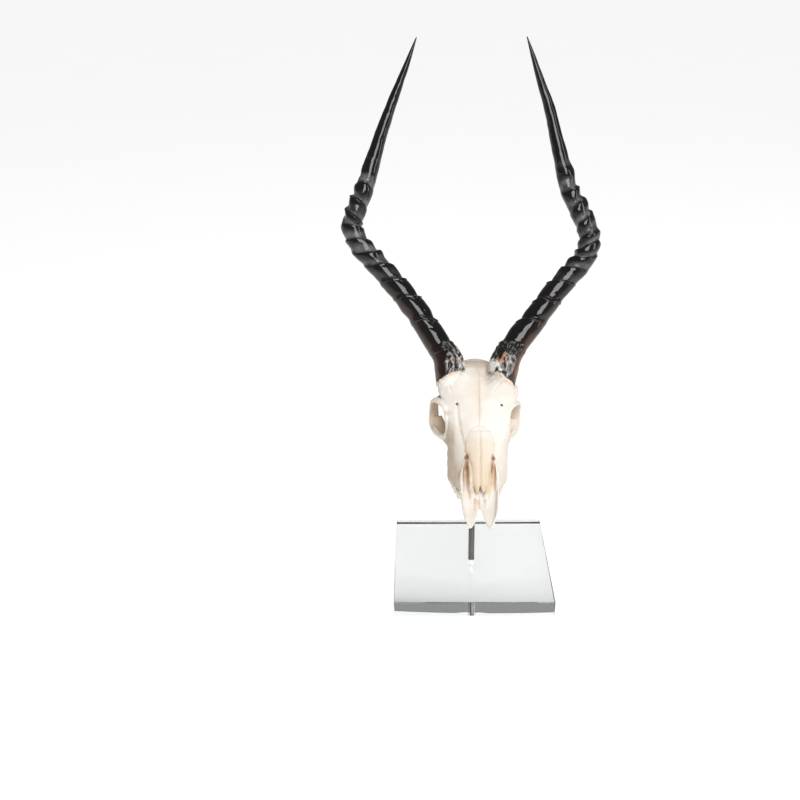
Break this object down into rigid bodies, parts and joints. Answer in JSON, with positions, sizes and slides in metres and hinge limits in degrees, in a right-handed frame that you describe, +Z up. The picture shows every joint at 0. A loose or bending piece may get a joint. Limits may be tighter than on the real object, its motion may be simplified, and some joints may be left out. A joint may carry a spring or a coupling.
{
  "type": "impala skull on stand",
  "caption": "Antelope skull with lyre-shaped ridged horns, held by a thin steel rod on a clear square block.",
  "frame": {"origin": "middle of the clear block's underside", "axes": "+Z up, -Y the way the muzzle points, +X to the right for someone who looks the skull in the face"},
  "size_m": [0.3246, 0.3313, 0.6592],
  "materials": {
    "bone": "cleaned, bleached bone, satin",
    "horn": "black horn, polished to a high gloss",
    "enamel": "ivory tooth enamel with brown stains",
    "steel": "bare drawn steel rod",
    "clear_acrylic": "clear cast acrylic with polished edges"
  },
  "bodies": {
    "root": {"skull": "bone", "horn_left": "horn", "horn_right": "horn", "cheek_tooth_left_1": "enamel", "cheek_tooth_left_2": "enamel", "cheek_tooth_left_3": "enamel", "cheek_tooth_left_4": "enamel", "cheek_tooth_left_5": "enamel", "cheek_tooth_left_6": "enamel", "cheek_tooth_right_1": "enamel", "cheek_tooth_right_2": "enamel", "cheek_tooth_right_3": "enamel", "cheek_tooth_right_4": "enamel", "cheek_tooth_right_5": "enamel", "cheek_tooth_right_6": "enamel", "rod": "steel", "base": "clear_acrylic"}
  },
  "joints": []
}
